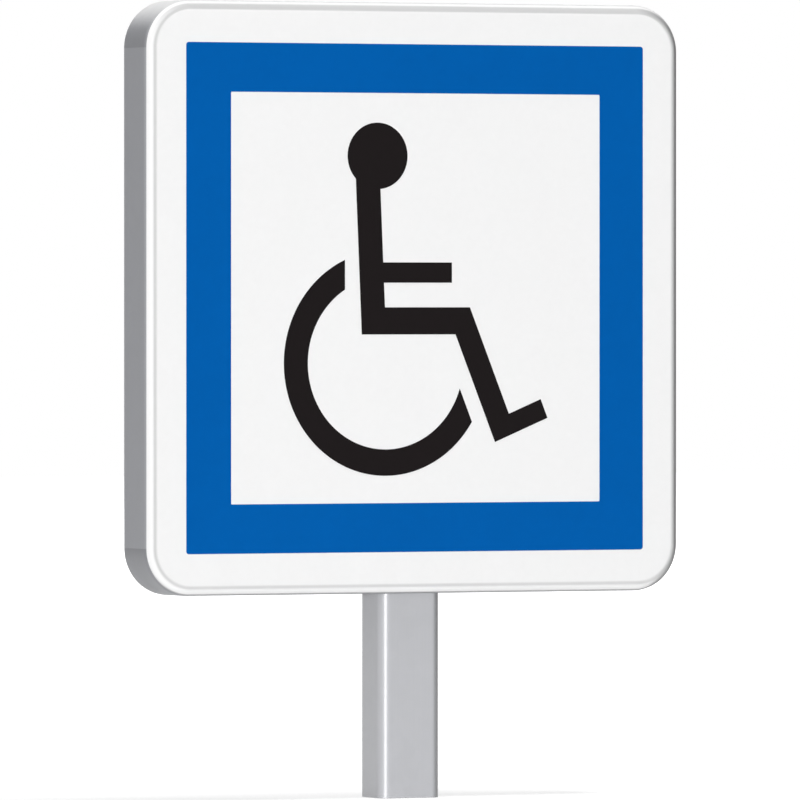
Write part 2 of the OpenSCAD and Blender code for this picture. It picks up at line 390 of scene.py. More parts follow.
class Web:
    """Adds nodes to a tree and joins them. Where a node is given as a value, its first output is meant."""

    def __init__(self, tree: Tree) -> None:
        """Takes the tree to work on."""
        self.tree = tree

    def node(self, kind: str, inputs: Optional[dict[Union[str, int], Any]] = None, **settings: Any) -> Node:
        """Adds one node.

        Args:
            kind: The node's type name.
            inputs: Values, sockets or nodes, by the name or place of the input.
            settings: The node's own properties.

        Returns:
            The new node.
        """
        made = self.tree.nodes.new(kind)
        for key, value in settings.items():
            setattr(made, key, value)
        for name, value in (inputs or {}).items():
            self.feed(made, name, value)
        return made

    def feed(self, target: Node, name: Union[str, int], value: Any) -> None:
        """Sets an input of a node, or joins something to it.

        Args:
            target: The node.
            name: Name of its input, or its place among the inputs where names are shared.
            value: A plain value, an output socket or a node.
        """
        if isinstance(name, int):
            socket = target.inputs[name]
        else:
            socket = next(s for s in target.inputs if s.name == name and s.enabled)
        if isinstance(value, Node):
            value = value.outputs[0]
        if isinstance(value, Socket):
            self.tree.links.new(value, socket)
        else:
            socket.default_value = value

    def math(self, operation: str, first: Any, second: Any = 0.0) -> Node:
        """Adds a Math node."""
        return self.node("ShaderNodeMath", {0: first, 1: second}, operation=operation)

    def vector_math(self, operation: str, first: Any, second: Any) -> Node:
        """Adds a Vector Math node that takes two vectors."""
        return self.node("ShaderNodeVectorMath", {0: first, 1: second}, operation=operation)

    def weigh(self, first: Any, second: Any, share: float) -> Node:
        """Adds up two numbers, of which the second has this share."""
        return self.math("ADD", self.math("MULTIPLY", first, 1 - share), self.math("MULTIPLY", second, share))

    def remap(self, value: Any, low: Any, high: Any, to_low: Any = 0.0, to_high: Any = 1.0,
              smooth: bool = False) -> Node:
        """Adds a clamped Map Range node.

        Args:
            value: The number to map.
            low: Where it starts.
            high: Where it ends.
            to_low: What it is at the start.
            to_high: What it is at the end.
            smooth: Whether it starts and ends gently.

        Returns:
            The node.
        """
        return self.node("ShaderNodeMapRange", {
            "Value": value, "From Min": low, "From Max": high, "To Min": to_low, "To Max": to_high,
        }, interpolation_type="SMOOTHSTEP" if smooth else "LINEAR")

    def blend(self, factor: Any, first: Any, second: Any) -> Socket:
        """Mixes two colours."""
        return self.node("ShaderNodeMix", {0: factor, 6: first, 7: second}, data_type="RGBA").outputs[2]

    def noise(self, at: Any, scale: Any, detail: float, roughness: Any = 0.5) -> Node:
        """Adds a Noise Texture."""
        return self.node("ShaderNodeTexNoise", {"Vector": at, "Scale": scale, "Detail": detail,
                                                "Roughness": roughness})

    def coordinate(self, kind: str) -> Socket:
        """Gives one output of Texture Coordinate."""
        return self.node("ShaderNodeTexCoord").outputs[kind]

    def axis(self, vector: Any, name: str) -> Socket:
        """Gives one axis of a vector."""
        return self.node("ShaderNodeSeparateXYZ", {"Vector": vector}).outputs[name]


class Group(Web):
    """A node group, worked on from inside. Its inputs are read as group["Name"]."""

    def __init__(self, name: str, inputs: dict[str, Any], outputs: Sequence[str],
                 tree_kind: str = "ShaderNodeTree", gives: Kind = Kind.NUMBER) -> None:
        """Makes the group and its sockets.

        Args:
            name: Name of the group.
            inputs: First value of each input by name, or its kind where it has no first value.
            outputs: Names of the outputs.
            tree_kind: Type name of its tree.
            gives: Kind of all its outputs.
        """
        super().__init__(bpy.data.node_groups.new(name, tree_kind))
        for label, value in inputs.items():
            kind = value if isinstance(value, Kind) else KIND_OF_VALUE[type(value)]
            socket = self.tree.interface.new_socket(label, in_out="INPUT", socket_type=kind.value)
            if kind is not value:
                socket.default_value = value
        for label in outputs:
            self.tree.interface.new_socket(label, in_out="OUTPUT", socket_type=gives.value)
        self.given = self.node("NodeGroupInput").outputs

    def __getitem__(self, label: str) -> Socket:
        """Gives what comes in by this name."""
        return self.given[label]

    def give(self, **results: Any) -> Tree:
        """Joins the results to the outputs and returns the tree."""
        self.node("NodeGroupOutput", results)
        return self.tree


class Effect(Enum):
    """Shader groups that more than one finish uses."""

    GRAIN = "fine_grain"
    DRAWN_LINES = "drawn_lines"
    CRYSTALS = "zinc_crystals"
    WEATHER = "rain_streaks"


class Effects:
    """Builds each shader group once. All of them work on Object coordinates."""

    NOISE_RANGE = (0.34, 0.66)
    STREAK_RANGE = (0.36, 0.72)
    BROAD_SCALE = 0.11
    BAND_SCALE = 0.08
    SWIRL_SCALE = 1.7
    STREAK_STRETCH = 0.045
    SOIL_HIGH_UP = 0.12

    def __init__(self) -> None:
        """Builds the groups."""
        self.groups = {
            Effect.GRAIN: self.grain(),
            Effect.DRAWN_LINES: self.drawn_lines(),
            Effect.CRYSTALS: self.crystals(),
            Effect.WEATHER: self.weather(),
        }

    def grain(self) -> Tree:
        """Even grain, as of beads in sheeting, orange peel in a coating, or a mould's etched skin."""
        web = Group(Effect.GRAIN.value, {"Size": 0.001, "Softness": 0.5}, ["Height", "Tone"])
        at = web.coordinate("Object")
        scale = web.math("DIVIDE", 1.0, web["Size"])
        fine = web.noise(at, scale, detail=2.0, roughness=web["Softness"])
        broad = web.noise(at, web.math("MULTIPLY", scale, self.BROAD_SCALE), detail=3.0)
        both = web.weigh(fine, broad, share=0.6)
        return web.give(Height=fine, Tone=web.remap(both, *self.NOISE_RANGE))

    def drawn_lines(self) -> Tree:
        """Fine lines that rolling or drawing leaves along a piece."""
        web = Group(Effect.DRAWN_LINES.value, {"Lines per Metre": (900.0, 900.0, 6.0), "Breaks": 0.6},
                    ["Height", "Tone"])
        spread = web.vector_math("MULTIPLY", web.coordinate("Object"), web["Lines per Metre"])
        lines = web.noise(spread, scale=1.0, detail=4.0, roughness=web["Breaks"])
        bands = web.noise(spread, self.BAND_SCALE, detail=2.0)
        both = web.weigh(lines, bands, share=0.4)
        return web.give(Height=lines, Tone=web.remap(both, *self.NOISE_RANGE))

    def crystals(self) -> Tree:
        """Soft patches of zinc, each with its own tone."""
        web = Group(Effect.CRYSTALS.value, {"Size": 0.006, "Ragged": 0.3}, ["Tone"])
        at = web.coordinate("Object")
        scale = web.math("DIVIDE", 1.0, web["Size"])
        swirl = web.noise(at, web.math("MULTIPLY", scale, self.SWIRL_SCALE), detail=3.0).outputs["Color"]
        reach = web.math("MULTIPLY", web["Ragged"], web["Size"])
        shift = web.node("ShaderNodeVectorMath", {"Vector": swirl, "Scale": reach}, operation="SCALE")
        cells = web.node("ShaderNodeTexVoronoi", {
            "Vector": web.vector_math("ADD", at, shift), "Scale": scale, "Smoothness": 0.35,
        }, feature="SMOOTH_F1")
        return web.give(Tone=web.node("ShaderNodeSeparateColor", {"Color": cells.outputs["Color"]}))

    def weather(self) -> Tree:
        """Thin soil that rain draws down a piece, thicker towards a low edge."""
        web = Group(Effect.WEATHER.value, {"Low": 0.0, "High": 0.6, "Streaks": 45.0}, ["Mask"])
        at, across = web.coordinate("Object"), web["Streaks"]
        stretch = web.node("ShaderNodeCombineXYZ", {
            "X": across, "Y": across, "Z": web.math("MULTIPLY", across, self.STREAK_STRETCH)})
        streaks = web.noise(web.vector_math("MULTIPLY", at, stretch), scale=1.0, detail=5.0)
        fall = web.remap(web.axis(at, "Z"), web["Low"], web["High"], 1.0, self.SOIL_HIGH_UP, smooth=True)
        return web.give(Mask=web.math("MULTIPLY", web.remap(streaks, *self.STREAK_RANGE), fall))


# Finishes


def own_tree(owner: Union[Material, bpy.types.World]) -> Tree:
    """Gives a material or a world an empty tree and returns it."""
    owner.use_nodes = True
    owner.node_tree.nodes.clear()
    return owner.node_tree


class Surface(Web):
    """A material in the making: its tree, with a Principled shader and the shader groups at hand."""

    def __init__(self, finish: "Finish", effects: Effects) -> None:
        """Makes the material and its shader, with the finish's plain values."""
        self.material = bpy.data.materials.new(finish.name)
        super().__init__(own_tree(self.material))
        self.finish = finish
        self.effects = effects
        self.shader = self.node("ShaderNodeBsdfPrincipled", {
            "Base Color": rgba(finish.colour), "Roughness": finish.roughness, "Metallic": finish.metallic,
            "Specular IOR Level": finish.specular})
        self.node("ShaderNodeOutputMaterial", {"Surface": self.shader})

    def effect(self, effect: Effect, **values: Any) -> Node:
        """Places a shader group. The names of its inputs are written with underscores."""
        made = self.node("ShaderNodeGroup", node_tree=self.effects.groups[effect])
        for key, value in values.items():
            self.feed(made, key.replace("_", " "), value)
        return made

    def shade(self, tone: Any, spread: float) -> Socket:
        """Gives the finish's colour, up to this spread lighter and darker with a tone from 0 to 1."""
        colour = self.finish.colour
        return self.blend(tone, rgba(colour, 1 - spread), rgba(colour, 1 + spread))

    def paint(self, colour: Any) -> None:
        """Gives the shader its colour."""
        self.feed(self.shader, "Base Color", colour)

    def roughen(self, tone: Any, less: float, more: float) -> None:
        """Lets a tone from 0 to 1 change the roughness, from so much less to so much more."""
        middle = self.finish.roughness
        self.feed(self.shader, "Roughness", self.remap(tone, 0.0, 1.0, middle - less, middle + more))

    def relief(self, height: Any, depth: float) -> None:
        """Gives the surface a relief of this depth, in mm, from a height of 0 to 1."""
        bump = self.node("ShaderNodeBump", {"Strength": 1.0, "Distance": depth * MM, "Height": height})
        self.feed(self.shader, "Normal", bump)


@dataclass(frozen=True)
class Finish:
    """What every finish has: its colour in linear light, how rough and how reflecting it is."""

    name: str
    slot: Slot
    colour: Colour
    roughness: float
    specular: float = 0.5
    metallic: float = 0.0

    def make(self, effects: Effects) -> Material:
        """Makes the material with the help of the shader groups."""
        surface = Surface(self, effects)
        self.detail(surface)
        return surface.material

    def detail(self, on: Surface) -> None:
        """Adds what changes over the surface. Each kind of finish has its own."""
        raise NotImplementedError


@dataclass(frozen=True)
class SheetingFinish(Finish):
    """White reflective sheeting: fine beads under a clear skin, and painted shade and painted light where it
    goes over the fold.
    """

    bead: float = 0.55
    bead_tone: float = 0.008
    soil_share: float = 0.05
    soil_colour: Colour = (0.70, 0.69, 0.66)
    # Colours of the painted shade and the painted light on the fold
    grime_colour: Colour = (0.115, 0.115, 0.12)
    painted_light_colour: Colour = (0.98, 0.98, 0.98)

    def detail(self, on: Surface) -> None:
        """Adds beads, thin soil, and the painted shade and painted light that are marked on the fold."""
        grain = on.effect(Effect.GRAIN, Size=self.bead * MM, Softness=0.65)
        tone = grain.outputs["Tone"]
        soil = on.effect(Effect.WEATHER, Low=0.17, High=0.36, Streaks=55.0)
        soiled = on.math("MULTIPLY", soil, self.soil_share)
        colour = on.blend(soiled, on.shade(tone, self.bead_tone), rgba(self.soil_colour))
        # Painted shade on the fold where the marked share is above 0, and painted light, a whiter tone, where
        # it is below 0
        grime = on.node("ShaderNodeAttribute", attribute_name=FOLD_LIGHT_AND_SHADE).outputs["Fac"]
        colour = on.blend(on.math("MAXIMUM", grime, 0.0), colour, rgba(self.grime_colour))
        painted_light = on.math("MAXIMUM", on.math("MULTIPLY", grime, -1.0), 0.0)
        on.paint(on.blend(painted_light, colour, rgba(self.painted_light_colour)))
        on.roughen(tone, less=0.04, more=0.05)
        on.relief(grain, depth=0.012)


@dataclass(frozen=True)
class FilmFinish(Finish):
    """Cut colour film: smooth, with the sheeting's beads just showing through."""

    bead: float = 0.55
    cloud: float = 9.0
    cloud_share: float = 0.65

    def detail(self, on: Surface) -> None:
        """Adds a faint cloudiness and beads."""
        grain = on.effect(Effect.GRAIN, Size=self.bead * MM, Softness=0.6)
        cloud = on.effect(Effect.GRAIN, Size=self.cloud * MM, Softness=0.5).outputs["Tone"]
        tone = on.weigh(grain.outputs["Tone"], cloud, self.cloud_share)
        on.paint(on.shade(tone, spread=0.035))
        on.roughen(cloud, less=0.03, more=0.05)
        on.relief(grain, depth=0.008)


@dataclass(frozen=True)
class CoatingFinish(Finish):
    """Baked powder coating, with its orange peel, and painted light where it faces up.

    The side walls' corners have painted shade, darker from a sharp line on. Heights are in metres, peel and
    specks in mm.
    """

    peel: float = 1.5
    speck: float = 0.4
    soil_share: float = 0.12
    soil_tone: float = 0.72
    # Painted light on faces that turn up
    top_light_colour: Colour = (0.88, 0.88, 0.88)
    top_light_share: float = 0.9
    top_light_zone: Zone = (0.36, 0.99)
    top_light_patches: float = 0.06
    # Painted shade on the side walls' corners: its tone, heights, fades and shares
    corner_shade_tone: float = 0.5
    corner_high: float = 0.6335
    corner_low: float = 0.2135
    fade_high: float = 0.022
    fade_low: float = 0.045
    share_high: float = 0.4
    share_low: float = 0.56
    side_zone: Zone = (0.04, 0.25)

    def detail(self, on: Surface) -> None:
        """Adds orange peel, a slight unevenness of tone, thin soil, painted shade on the corners and painted
        light on upward faces.
        """
        peel = on.effect(Effect.GRAIN, Size=self.peel * MM, Softness=0.35)
        speck = on.effect(Effect.GRAIN, Size=self.speck * MM, Softness=0.7)
        tone = on.weigh(peel.outputs["Tone"], speck.outputs["Tone"], share=0.4)
        soil = on.effect(Effect.WEATHER, Low=0.17, High=0.5, Streaks=40.0)
        soiled = on.math("MULTIPLY", soil, self.soil_share)
        colour = on.blend(soiled, on.shade(tone, spread=0.02), rgba(self.colour, self.soil_tone))
        # Painted shade on the side walls' corners
        colour = on.blend(self.corners(on), colour, rgba(self.colour, self.corner_shade_tone))
        # Painted light: faces that turn up are painted paler, in patches
        patches = on.math("MULTIPLY", on.math("SUBTRACT", tone, 0.5), self.top_light_patches)
        upward = on.math("ADD", on.axis(on.coordinate("Normal"), "Z"), patches)
        top_lit = on.remap(upward, *self.top_light_zone, 0.0, self.top_light_share, smooth=True)
        on.paint(on.blend(top_lit, colour, rgba(self.top_light_colour)))
        on.roughen(soil, less=0.0, more=0.12)
        on.relief(peel, depth=0.02)

    def corners(self, on: Surface) -> Node:
        """Marks the side walls' corners for painted shade, darker from a sharp line on.

        Args:
            on: The material in the making.

        Returns:
            The share of the painted shade.
        """
        z = on.axis(on.coordinate("Object"), "Z")
        high = on.math("MULTIPLY", on.math("GREATER_THAN", z, self.corner_high),
                       on.remap(z, self.corner_high, self.corner_high + self.fade_high, self.share_high, 0.0))
        low = on.math("MULTIPLY", on.math("LESS_THAN", z, self.corner_low),
                      on.remap(z, self.corner_low - self.fade_low, self.corner_low, 0.0, self.share_low))
        sideways = on.axis(on.coordinate("Normal"), "X")
        sides = on.remap(on.math("MULTIPLY", sideways, sideways), *self.side_zone)
        return on.math("MULTIPLY", on.math("ADD", high, low), sides)


@dataclass(frozen=True)
class MetalFinish(Finish):
    """Metal with the fine lines of rolling or drawing, and patches of zinc where it has them.

    The lines are a number per metre along each axis, and other sizes are in mm.
    """

    lines: tuple[float, float, float] = (900.0, 900.0, 6.0)
    line_tone: float = 0.03
    line_depth: float = 0.004
    crystal: float = 0.0
    crystal_tone: float = 0.0
    bloom: float = 7.0
    skin: float = 0.0
    skin_roughness: float = 0.15
    skin_ior: float = 1.5
    # Painted shade on the side that faces +X: its tone, and the normal's X over which it sets in
    shaded_side_tone: float = 1.0
    shaded_side_zone: Zone = (0.0, 0.62)

    def detail(self, on: Surface) -> None:
        """Adds lines, zinc patches, a dull bloom, a smooth clear skin and painted shade on the side that
        faces +X.
        """
        skin = {"Weight": self.skin, "Roughness": self.skin_roughness, "IOR": self.skin_ior}
        for name, value in skin.items():
            on.feed(on.shader, f"Coat {name}", value)
        lines = on.effect(Effect.DRAWN_LINES, Lines_per_Metre=self.lines, Breaks=0.62)
        tone = lines.outputs["Tone"]
        if self.crystal:
            patches = on.effect(Effect.CRYSTALS, Size=self.crystal * MM, Ragged=0.6)
            tone = on.weigh(tone, patches, self.crystal_tone / (self.crystal_tone + self.line_tone))
        colour = on.shade(tone, self.line_tone + self.crystal_tone)
        # Painted shade: the side that faces +X is darker
        if self.shaded_side_tone < 1:
            shaded_side = on.remap(on.axis(on.coordinate("Normal"), "X"), *self.shaded_side_zone, smooth=True)
            colour = on.blend(shaded_side, colour, rgba(self.colour, self.shaded_side_tone))
        on.paint(colour)
        bloom = on.effect(Effect.GRAIN, Size=self.bloom * MM, Softness=0.55).outputs["Tone"]
        on.roughen(on.weigh(bloom, lines.outputs["Tone"], share=0.4), less=0.05, more=0.07)
        on.relief(lines, self.line_depth)


@dataclass(frozen=True)
class PlasticFinish(Finish):
    """Moulded plastic with a fine etched grain."""

    grain: float = 0.8

    def detail(self, on: Surface) -> None:
        """Adds the mould's grain."""
        skin = on.effect(Effect.GRAIN, Size=self.grain * MM, Softness=0.6)
        on.paint(on.shade(skin.outputs["Tone"], spread=0.15))
        on.roughen(skin.outputs["Tone"], less=0.06, more=0.08)
        on.relief(skin, depth=0.05)


FINISHES = (
    CoatingFinish("grey_powder_coating", Slot.COATING, (0.362, 0.367, 0.388), roughness=0.34,
                  specular=0.25),
    SheetingFinish("white_reflective_sheeting", Slot.SHEETING, (0.895, 0.895, 0.895), roughness=0.42,
                   specular=0.2),
    FilmFinish("blue_cut_film", Slot.BLUE_FILM, (0.0, 0.105, 0.400), roughness=0.42, specular=0.04),
    FilmFinish("black_cut_film", Slot.BLACK_FILM, (0.0115, 0.0092, 0.0096), roughness=0.42, specular=0.04),
    MetalFinish("drawn_alloy", Slot.ALLOY, (0.60, 0.61, 0.62), roughness=0.42, metallic=0.85,
                lines=(8.0, 1100.0, 1100.0), line_tone=0.05),
    # The tube has painted shade on its side that faces +X
    MetalFinish("satin_zinc_tube", Slot.TUBE, (0.452, 0.457, 0.480), roughness=0.45, metallic=0.20,
                lines=(800.0, 800.0, 5.0), line_tone=0.02, crystal=9.0, crystal_tone=0.012,
                skin=1.0, skin_roughness=0.27, skin_ior=1.68, shaded_side_tone=0.50),
    MetalFinish("zinc_plating", Slot.PLATING, (0.50, 0.515, 0.54), roughness=0.36, metallic=0.85,
                lines=(260.0, 260.0, 260.0), line_tone=0.04, crystal=3.0, crystal_tone=0.05),
    PlasticFinish("black_moulded_plastic", Slot.PLASTIC, (0.02, 0.02, 0.021), roughness=0.5,
                  specular=0.4),
)


class Wardrobe:
    """Holds the finished materials by slot, and dresses pieces in them."""

    def __init__(self) -> None:
        """Makes every material once."""
        effects = Effects()
        self.materials = {finish.slot: finish.make(effects) for finish in FINISHES}

    def dress_node(self, name: str, slot: Slot) -> None:
        """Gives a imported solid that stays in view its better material."""
        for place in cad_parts[name].material_slots:
            place.material = self.materials[slot]
        LOG.info("%s: packed solid, dressed in %s", name, self.materials[slot].name)

    def dress_piece(self, piece: Piece, slot: Slot, nodes: Sequence[str] = ()) -> None:
        """Gives a new piece its material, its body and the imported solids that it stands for.

        Args:
            piece: The piece, already in place.
            slot: Its material slot.
            nodes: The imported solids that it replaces.
        """
        piece.data.materials.clear()
        piece.data.materials.append(self.materials[slot])
        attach(piece, BODY)
        if nodes:
            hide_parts(*nodes)
        LOG.info("%s: %d faces, for %s", piece.name, len(piece.data.polygons), ", ".join(nodes) or "no solid")


# Geometry Nodes


class NodeTool:
    """A Geometry Nodes tree that makes plain meshes. Each kind of tool builds its own tree."""

    def __init__(self, name: str, inputs: dict[str, Any]) -> None:
        """Builds the tree, which ends in Realize Instances and Set Material.

        Args:
            name: Name of the tree.
            inputs: Kind or first value of each input, by name.
        """
        web = Group(name, inputs | {"Material": Kind.MATERIAL}, ["Geometry"], "GeometryNodeTree",
                    Kind.GEOMETRY)
        smooth = web.node("GeometryNodeSetShadeSmooth", {"Geometry": self.shape(web)})
        plain = web.node("GeometryNodeRealizeInstances", {"Geometry": smooth})
        self.tree = web.give(Geometry=web.node("GeometryNodeSetMaterial", {
            "Geometry": plain, "Material": web["Material"]}))

    def shape(self, web: Group) -> Node:
        """Builds the middle of the tree and returns the node that gives its geometry."""
        raise NotImplementedError

    @staticmethod
    def geometry_of(web: Group, label: str) -> Socket:
        """Gives the geometry of the object in an input."""
        return web.node("GeometryNodeObjectInfo", {"Object": web[label]}).outputs["Geometry"]

    def run(self, name: str, values: dict[str, Any]) -> Piece:
        """Runs the tree once.

        Args:
            name: Name of the piece.
            values: The inputs by name. Helper objects among them are taken out of the file afterwards.

        Returns:
            The piece as a plain mesh.
        """
        host = new_object(name, bpy.data.meshes.new(name))
        modifier = host.modifiers.new("shape", "NODES")
        modifier.node_group = self.tree
        for item in self.tree.interface.items_tree:
            if item.in_out == "INPUT" and item.name in values:
                modifier[item.identifier] = values[item.name]
        settle(host)
        for value in values.values():
            if isinstance(value, Piece):
                bpy.data.objects.remove(value)
        return host


class SweepTool(NodeTool):
    """Carries a section along a path. The section's X points out of the path and its Y down."""

    def __init__(self) -> None:
        """Builds the tree."""
        super().__init__("section_along_path", {
            "Section": Kind.OBJECT, "Path": Kind.OBJECT, "Closed Ends": False})

    def shape(self, web: Group) -> Node:
        """Joins Curve to Mesh to the two lines."""
        path, section = self.geometry_of(web, "Path"), self.geometry_of(web, "Section")
        upright = web.node("GeometryNodeSetCurveNormal", {"Curve": path}, mode="Z_UP")
        return web.node("GeometryNodeCurveToMesh", {
            "Curve": upright, "Profile Curve": section, "Fill Caps": web["Closed Ends"]})

    def sweep(self, name: str, section: Outline, path: Outline, place: Matrix) -> Piece:
        """Sweeps a section, given with X out of the path and Y up, and puts the result in place.

        Args:
            name: Name of the piece.
            section: The section.
            path: The path in the XY plane.
            place: Where the piece goes in the row frame.

        Returns:
            The piece, closed and shaded.
        """
        made = self.run(name, {"Section": line_object("section", section, flip=-1),
                               "Path": line_object("path", path), "Closed Ends": not path.closed})
        made.data.transform(place)
        close_and_shade(made)
        return made


class ScatterTool(NodeTool):
    """Sets copies of one piece on the points of an upright grid, with their +Z pointing to the back."""

    def __init__(self) -> None:
        """Builds the tree."""
        super().__init__("copies_on_grid", {
            "Copy": Kind.OBJECT, "Width": 0.1, "Height": 0.1, "Columns": 2, "Rows": 2,
            "Middle": (0.0, 0.0, 0.0), "Spin": 0.0, "Seed": 0})

    def shape(self, web: Group) -> Node:
        """Joins the grid, the random spin and the copies."""
        grid = web.node("GeometryNodeMeshGrid", {
            "Size X": web["Width"], "Size Y": web["Height"], "Vertices X": web["Columns"],
            "Vertices Y": web["Rows"]})
        upright = web.node("GeometryNodeTransform", {
            "Geometry": grid, "Translation": web["Middle"], "Rotation": (math.pi / 2, 0.0, 0.0)})
        spin = web.node("FunctionNodeRandomValue", {"Min": 0.0, "Max": web["Spin"], "Seed": web["Seed"]},
                        data_type="FLOAT")
        turned = web.node("ShaderNodeCombineXYZ", {"X": -math.pi / 2, "Y": spin.outputs[1], "Z": 0.0})
        return web.node("GeometryNodeInstanceOnPoints", {
            "Points": upright, "Rotation": turned, "Instance": self.geometry_of(web, "Copy")})

    def set_out(self, name: str, copy: Piece, size: Point, counts: tuple[int, int], middle: Point,
                spin: float, seed: int) -> Piece:
        """Sets out the copies in one upright plane.

        Args:
            name: Name of the piece that they become together.
            copy: What is copied.
            size: Width and height of the grid, in mm.
            counts: Number of columns and rows.
            middle: Depth and height of the grid's middle, as Y and Z in mm.
            spin: How far a copy may be turned about its own axis, in radians.
            seed: Seed of the turns.

        Returns:
            The piece, closed and shaded.
        """
        made = self.run(name, {
            "Copy": copy, "Width": size[0] * MM, "Height": size[1] * MM, "Columns": counts[0],
            "Rows": counts[1], "Middle": Vector((0, *middle)) * MM, "Spin": spin, "Seed": seed})
        close_and_shade(made)
        return made


# Sub-assemblies


@dataclass
class SubAssembly:
    """What every sub-assembly is made with."""

    wardrobe: Wardrobe
    sweeps: SweepTool
    scatter: ScatterTool


@dataclass(frozen=True)
class FoldLightAndShade:
    """Painted shade on the sheeting's fold, and painted light where a share is below 0, as shares from 0 to 1
    by the angle from the face's normal, in degrees.

    A zone says at which angles a share starts and is full, and for a band also where it fades and ends.
    """

    line: float = 0.36
    line_at: float = 13.7
    line_half: float = 16.5
    line_below: float = 0.66
    band_zone: Zone = (3.0, 12.0, 33.0, 49.0)
    # Zones where the fold gets painted light, lighter than the face
    lit_zone_top: Zone = (41.0, 49.0)
    lit_zone_low: Zone = (20.0, 32.0, 44.0, 53.0)
    low_edge: float = 0.55
    low_edge_zone: Zone = (49.0, 59.0)
    right: float = 0.80
    right_zone: Zone = (0.0, 35.0)
    right_power: float = 1.2
    corner_gain: float = 12.6
    corner_power: float = 4.0
    corner_thinning: float = 0.6
    # Painted shade that darkens the edge further in the lower right corner
    low_corner_shade: float = 0.5
    low_corner_shade_zone: Zone = (22.0, 50.0)

    def share(self, angle: float, right: float, up: float) -> float:
        """How much painted shade, or painted light where it is below 0, lies at one place.

        Args:
            angle: Angle on the fold from the face's normal.
            right: How far this stretch of the edge faces right, from -1 to 1.
            up: How far it faces up, from -1 to 1.

        Returns:
            The share of painted shade: a line on the left and below, a band on top, a dark edge below and on
                the right.
            Where it is less than 0, as on top and below, the fold has painted light and is lighter than the
            face.
        """
        # Painted shade: a line at the crease, a band on top, dark edges on the right and below; painted light
        # where the sum is below 0
        line = self.line * bulge(angle, self.line_at, self.line_half)
        right_part = max(right, 0.0) ** self.right_power
        low_part = max(-up, 0.0) ** 2
        away_from_right = (1 - right_part) ** 2
        corner = min(self.corner_gain * max(right, 0.0) ** 2 * low_part ** self.corner_power, 1.0)
        top = self.line * swell(angle, *self.band_zone) - ease(angle, *self.lit_zone_top) * away_from_right
        low = self.line_below * line * (1 - self.corner_thinning * corner)
        low += self.low_edge * ease(angle, *self.low_edge_zone)
        low -= swell(angle, *self.lit_zone_low) * away_from_right
        low_corner_shade = self.low_corner_shade * corner * ease(angle, *self.low_corner_shade_zone)
        sides = max(-right, 0.0) ** 2 * line + right_part * self.right * ease(angle, *self.right_zone)
        return sides + max(up, 0.0) ** 2 * top + low_part * low + low_corner_shade


